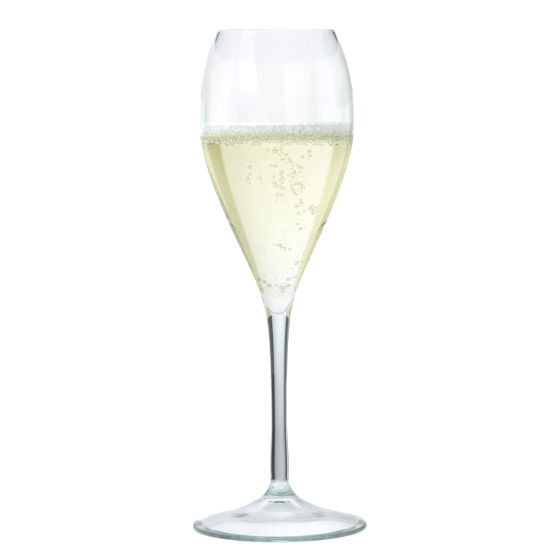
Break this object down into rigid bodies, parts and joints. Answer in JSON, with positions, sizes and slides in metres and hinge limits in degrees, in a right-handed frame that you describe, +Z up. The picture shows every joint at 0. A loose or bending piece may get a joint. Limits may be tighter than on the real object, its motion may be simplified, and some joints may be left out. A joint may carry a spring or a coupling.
{
  "type": "champagne flute",
  "caption": "Tulip-shaped champagne flute with a rounded lip, drawn stem and conical foot, holding pale champagne under a head of foam.",
  "frame": {"origin": "centre of the ring that the foot stands on, on the table's surface", "axes": "+Z up along the stem's axis; the glass is round, and +X and +Y only place the bubbles"},
  "size_m": [0.0702, 0.0702, 0.2],
  "materials": {
    "bowl_glass": "polished",
    "stem_glass": "polished",
    "foot_glass": "polished",
    "champagne": "polished",
    "foam": "satin",
    "gas": "polished"
  },
  "bodies": {
    "root": {"bowl": "bowl_glass", "stem": "stem_glass", "foot": "foot_glass", "champagne": "champagne", "foam_head": "foam", "rising_bubbles": "gas", "clinging_bubbles": "gas", "surface_bubbles": "gas"}
  },
  "joints": []
}
